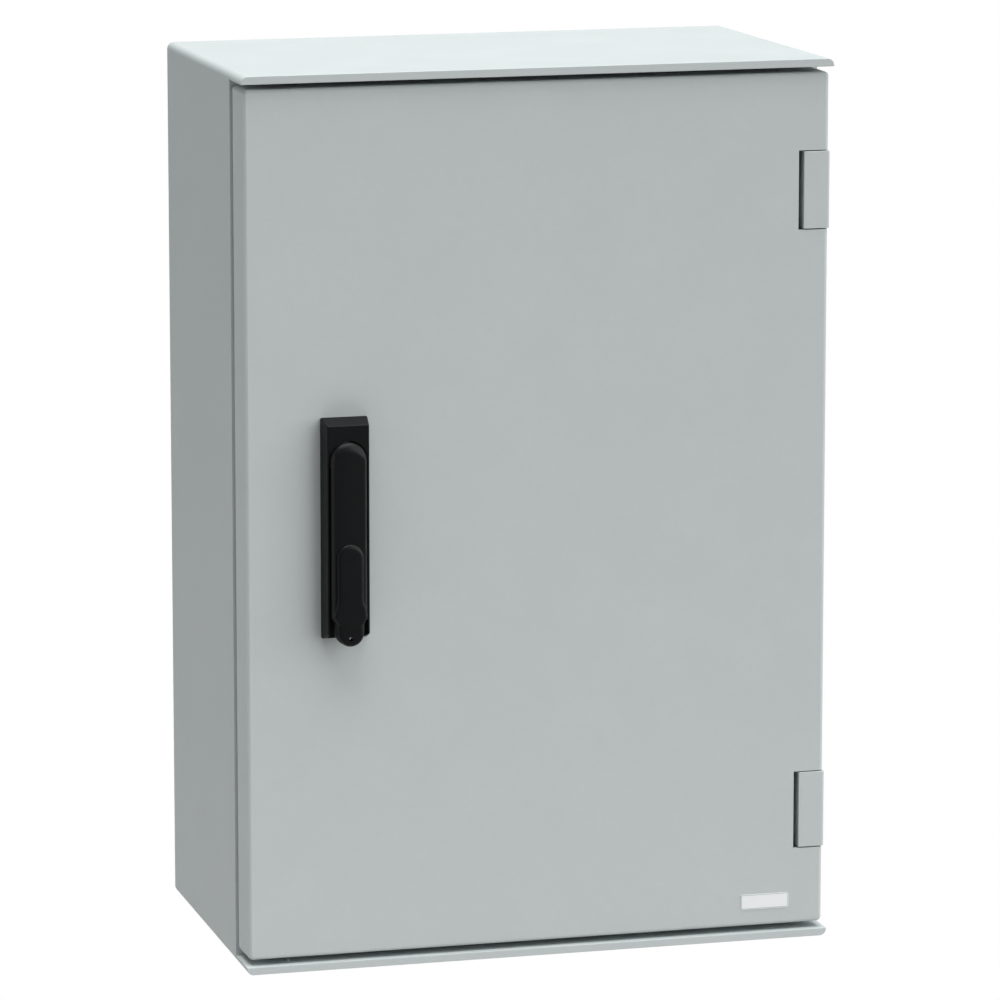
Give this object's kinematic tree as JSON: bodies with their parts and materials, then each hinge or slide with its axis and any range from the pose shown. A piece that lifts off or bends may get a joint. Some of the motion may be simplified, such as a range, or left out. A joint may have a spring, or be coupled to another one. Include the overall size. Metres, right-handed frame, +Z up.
{
  "type": "wall-mounting electrical enclosure",
  "caption": "Moulded grey wall enclosure with a rain hood, a hinged door and a black swing handle that drives a cam and locking rods.",
  "frame": {"origin": "on the back plane, at the centre of the four wall-fixing holes", "axes": "+X to the right, +Y towards the wall and +Z up, as seen facing the door"},
  "size_m": [0.437, 0.2665, 0.647],
  "materials": {
    "grp_light_grey": "light-grey glass-reinforced polyester, fine moulded texture, matt",
    "black_polyamide": "black glass-filled polyamide, satin",
    "foam_gasket": "foamed polyurethane, matt skin",
    "zinc_plated_steel": "bright zinc plating",
    "stainless_steel": "turned stainless steel",
    "zinc_die_casting": "cast zinc, satin",
    "galvanised_sheet": "galvanised sheet with faint spangle",
    "brass": "turned brass",
    "label_film": "white label film, blank"
  },
  "bodies": {
    "enclosure": {"enclosure_body": "grp_light_grey", "hinge_block_upper": "grp_light_grey", "hinge_block_lower": "grp_light_grey", "hinge_pin_upper": "stainless_steel", "hinge_pin_lower": "stainless_steel", "hinge_screws": "zinc_plated_steel", "catch_side": "zinc_plated_steel", "catch_upper": "zinc_plated_steel", "catch_lower": "zinc_plated_steel", "catch_screws": "zinc_plated_steel", "plate_inserts": "brass", "mounting_plate": "galvanised_sheet", "plate_washers": "zinc_plated_steel", "plate_screws": "zinc_plated_steel", "earth_bolt": "zinc_plated_steel", "earth_washers": "zinc_plated_steel", "earth_nuts": "zinc_plated_steel"},
    "door": {"door": "grp_light_grey", "door_gasket": "foam_gasket", "rating_plate": "label_film", "handle_tray": "black_polyamide", "handle_gasket": "foam_gasket", "handle_clamp": "zinc_plated_steel", "handle_screws": "zinc_plated_steel", "rod_guide_upper": "black_polyamide", "rod_guide_lower": "black_polyamide", "guide_screws": "zinc_plated_steel"},
    "spindle": {"hub": "zinc_die_casting", "hub_circlip": "stainless_steel", "cross_pin": "stainless_steel", "spindle": "zinc_plated_steel", "spindle_sleeve": "zinc_plated_steel", "cam": "zinc_plated_steel", "cam_pins": "zinc_plated_steel", "cam_washer": "zinc_plated_steel", "cam_screw": "zinc_plated_steel"},
    "lever": {"lever": "black_polyamide"},
    "key_cover": {"key_cover": "black_polyamide", "key_cover_screw": "zinc_plated_steel"},
    "lock_insert": {"lock_insert": "zinc_die_casting"},
    "rod_upper": {"rod_upper": "zinc_plated_steel"},
    "rod_lower": {"rod_lower": "zinc_plated_steel"}
  },
  "joints": [
    {"name": "door_hinge", "type": "hinge", "parent": "enclosure", "child": "door", "pos_m": [0.211, -0.239, 0], "axis": [0, 0, 1], "range_deg": [0, 180]},
    {"name": "handle_turn", "type": "hinge", "parent": "door", "child": "spindle", "pos_m": [-0.1445, -0.2461, 0.0497], "axis": [0, -1, 0], "range_deg": [0, 90]},
    {"name": "lever_swing", "type": "hinge", "parent": "spindle", "child": "lever", "pos_m": [-0.1445, -0.2581, 0.0497], "axis": [-1, 0, 0], "range_deg": [0, 40]},
    {"name": "key_cover_swivel", "type": "hinge", "parent": "lever", "child": "key_cover", "pos_m": [-0.1445, -0.2647, -0.0197], "axis": [0, -1, 0], "range_deg": [-100, 100]},
    {"name": "lock_turn", "type": "hinge", "parent": "lever", "child": "lock_insert", "pos_m": [-0.1445, -0.2611, -0.0463], "axis": [0, -1, 0], "range_deg": [0, 90]},
    {"name": "rod_upper_slide", "type": "slide", "parent": "door", "child": "rod_upper", "axis": [0, 0, 1], "range_m": [-0.02263, 0]},
    {"name": "rod_lower_slide", "type": "slide", "parent": "door", "child": "rod_lower", "axis": [0, 0, 1], "range_m": [0, 0.02263]}
  ],
  "couplings": [
    {"joint": "handle_turn", "follows": "rod_lower_slide", "rad_per_m": 69.42},
    {"joint": "rod_upper_slide", "follows": "rod_lower_slide", "ratio": -1}
  ]
}
